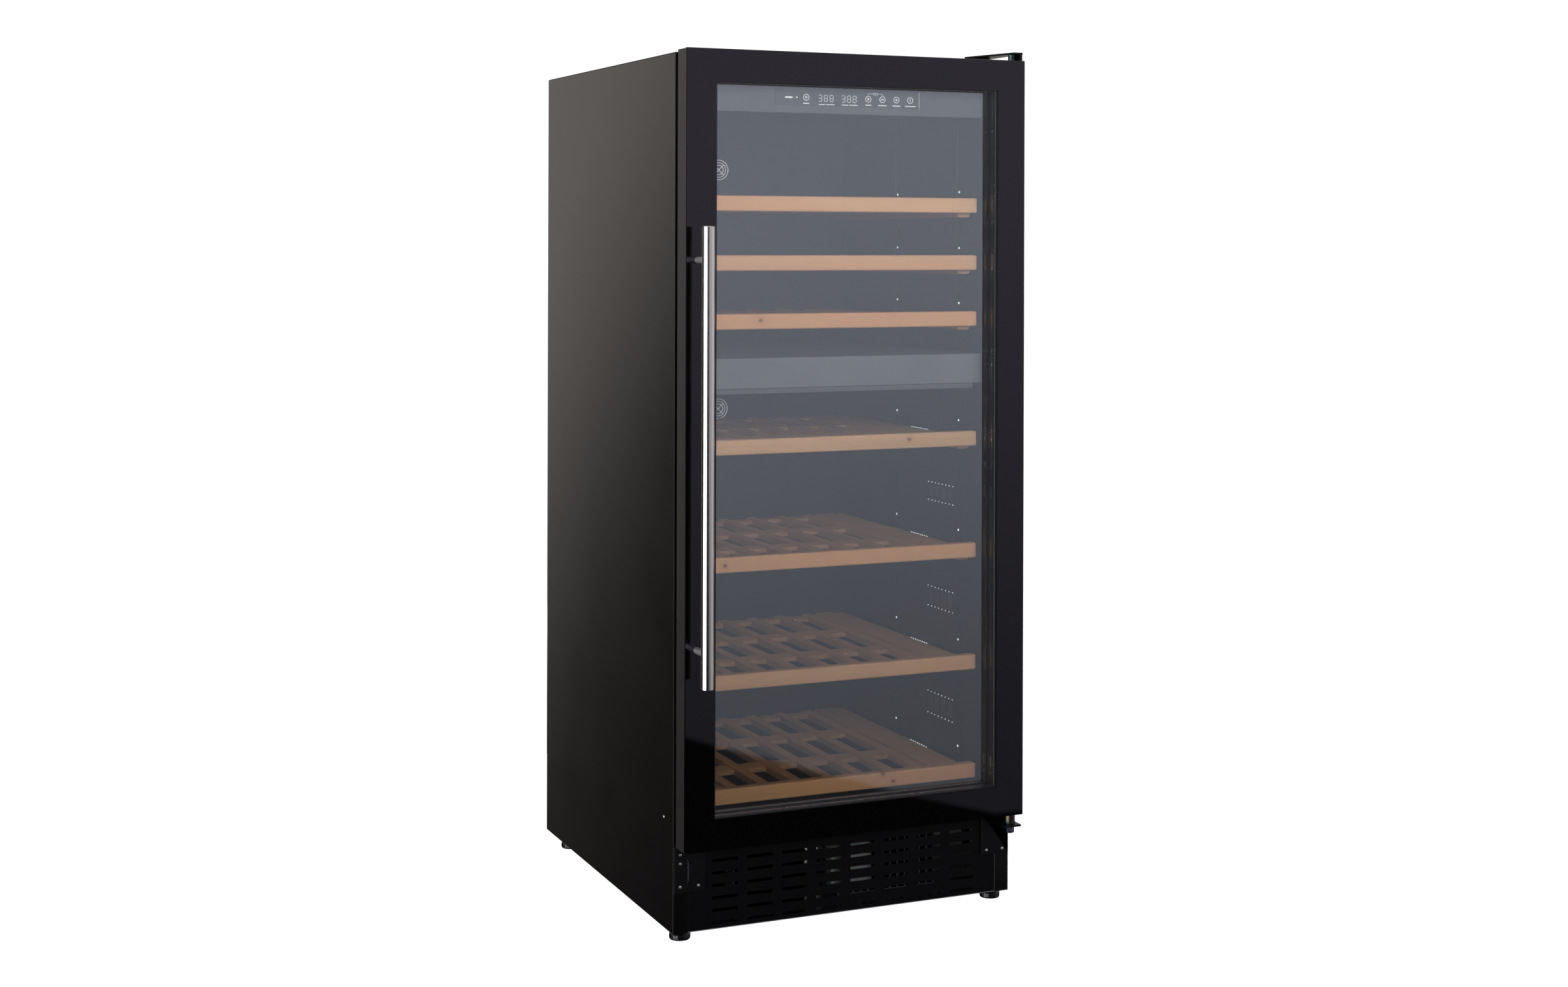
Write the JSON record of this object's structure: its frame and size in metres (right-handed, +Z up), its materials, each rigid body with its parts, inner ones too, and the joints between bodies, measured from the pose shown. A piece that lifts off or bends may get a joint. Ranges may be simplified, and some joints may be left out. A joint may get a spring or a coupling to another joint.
{
  "type": "wine cooler",
  "caption": "Tall free-standing wine cooler with two temperature zones, a right-hinged full-face smoked glass door with a vertical bar handle, and slatted beech shelves.",
  "frame": {"origin": "on the floor, under the middle of the object's outer box", "axes": "+Z up, the front with the door and handle faces -Y, +X to the right seen from the front, where the hinges are"},
  "size_m": [0.595, 0.7616, 1.403],
  "materials": {
    "black_coat": "satin black powder coat on steel sheet",
    "black_plastic": "fine-grained black moulded plastic",
    "smoked_glass": "smoked toughened glass with a black printed border",
    "clear_glass": "clear low-emissivity inner pane",
    "seal_rubber": "matt black bellows seal",
    "brushed_steel": "stainless steel bar, brushed round its axis",
    "zinc_steel": "bright zinc-plated steel",
    "aluminium": "plain aluminium",
    "beech": "planed and oiled beech",
    "foam": "expanded polyurethane foam, enclosed",
    "light_cover": "white light diffuser",
    "circuit_board": "green circuit board"
  },
  "bodies": {
    "cabinet": {"air_cover_lower": "black_plastic", "air_cover_upper": "black_plastic", "base_pan": "zinc_steel", "blank_bracket": "black_coat", "charcoal_filter_lower": "black_plastic", "charcoal_filter_upper": "black_plastic", "compressor": "black_coat", "condenser": "aluminium", "condenser_fan_housing": "black_plastic", "control_board": "circuit_board", "control_panel": "smoked_glass", "drip_tray": "black_plastic", "evaporator_lower": "aluminium", "evaporator_upper": "aluminium", "fan_housing_lower": "black_plastic", "fan_housing_upper": "black_plastic", "header_fascia": "black_plastic", "insulation_foam": "foam", "kick_grille": "black_coat", "light_strip_lower": "light_cover", "light_strip_upper": "light_cover", "liner": "black_plastic", "lower_hinge_bracket": "black_coat", "lower_hinge_pin": "zinc_steel", "power_inlet": "black_plastic", "rear_panel": "black_coat", "runner_frame_lower_left": "zinc_steel", "runner_frame_lower_right": "zinc_steel", "runner_frame_upper_left": "zinc_steel", "runner_frame_upper_right": "zinc_steel", "side_panel_left": "black_coat", "side_panel_right": "black_coat", "top_hinge_pin": "zinc_steel", "top_hinge_plate": "black_coat", "top_panel": "black_coat", "zone_divider": "black_plastic"},
    "door": {"door_front_glass": "smoked_glass", "door_frame": "black_plastic", "glazing_spacer": "aluminium", "door_inner_pane": "clear_glass", "door_gasket": "seal_rubber", "handle_bar": "brushed_steel", "handle_post_upper": "brushed_steel", "handle_post_lower": "brushed_steel"},
    "shelf_1": {"shelf_1": "beech"},
    "shelf_2": {"shelf_2": "beech"},
    "shelf_3": {"shelf_3": "beech"},
    "shelf_4": {"shelf_4": "beech"},
    "shelf_5": {"shelf_5": "beech"},
    "shelf_6": {"shelf_6": "beech"},
    "shelf_7": {"shelf_7": "beech"},
    "fan_upper": {"fan_rotor_upper": "black_plastic"},
    "fan_lower": {"fan_rotor_lower": "black_plastic"},
    "condenser_fan": {"condenser_fan_rotor": "black_plastic"},
    "foot_front_left": {"foot_front_left": "black_plastic"},
    "foot_front_right": {"foot_front_right": "black_plastic"},
    "foot_rear_left": {"foot_rear_left": "black_plastic"},
    "foot_rear_right": {"foot_rear_right": "black_plastic"}
  },
  "joints": [
    {"name": "door_hinge", "type": "hinge", "parent": "cabinet", "child": "door", "pos_m": [0.2815, -0.3082, 0.77], "axis": [0, 0, 1], "range_deg": [0, 115]},
    {"name": "shelf_1_slide", "type": "slide", "parent": "cabinet", "child": "shelf_1", "axis": [0, -1, 0], "range_m": [0, 0.024]},
    {"name": "shelf_2_slide", "type": "slide", "parent": "cabinet", "child": "shelf_2", "axis": [0, -1, 0], "range_m": [0, 0.024]},
    {"name": "shelf_3_slide", "type": "slide", "parent": "cabinet", "child": "shelf_3", "axis": [0, -1, 0], "range_m": [0, 0.024]},
    {"name": "shelf_4_slide", "type": "slide", "parent": "cabinet", "child": "shelf_4", "axis": [0, -1, 0], "range_m": [0, 0.024]},
    {"name": "shelf_5_slide", "type": "slide", "parent": "cabinet", "child": "shelf_5", "axis": [0, -1, 0], "range_m": [0, 0.024]},
    {"name": "shelf_6_slide", "type": "slide", "parent": "cabinet", "child": "shelf_6", "axis": [0, -1, 0], "range_m": [0, 0.024]},
    {"name": "shelf_7_slide", "type": "slide", "parent": "cabinet", "child": "shelf_7", "axis": [0, -1, 0], "range_m": [0, 0.024]},
    {"name": "fan_upper_spin", "type": "hinge", "parent": "cabinet", "child": "fan_upper", "pos_m": [0, 0.2963, 1.1], "axis": [0, 1, 0], "continuous": true},
    {"name": "fan_lower_spin", "type": "hinge", "parent": "cabinet", "child": "fan_lower", "pos_m": [0, 0.2963, 0.64], "axis": [0, 1, 0], "continuous": true},
    {"name": "condenser_fan_spin", "type": "hinge", "parent": "cabinet", "child": "condenser_fan", "pos_m": [0.11, -0.0852, 0.082], "axis": [0, 1, 0], "continuous": true},
    {"name": "foot_front_left_turn", "type": "hinge", "parent": "cabinet", "child": "foot_front_left", "pos_m": [-0.2765, -0.2502, 0.007], "axis": [0, 0, 1], "continuous": true},
    {"name": "foot_front_right_turn", "type": "hinge", "parent": "cabinet", "child": "foot_front_right", "pos_m": [0.2765, -0.2502, 0.007], "axis": [0, 0, 1], "continuous": true},
    {"name": "foot_rear_left_turn", "type": "hinge", "parent": "cabinet", "child": "foot_rear_left", "pos_m": [-0.2765, 0.3008, 0.007], "axis": [0, 0, 1], "continuous": true},
    {"name": "foot_rear_right_turn", "type": "hinge", "parent": "cabinet", "child": "foot_rear_right", "pos_m": [0.2765, 0.3008, 0.007], "axis": [0, 0, 1], "continuous": true}
  ]
}
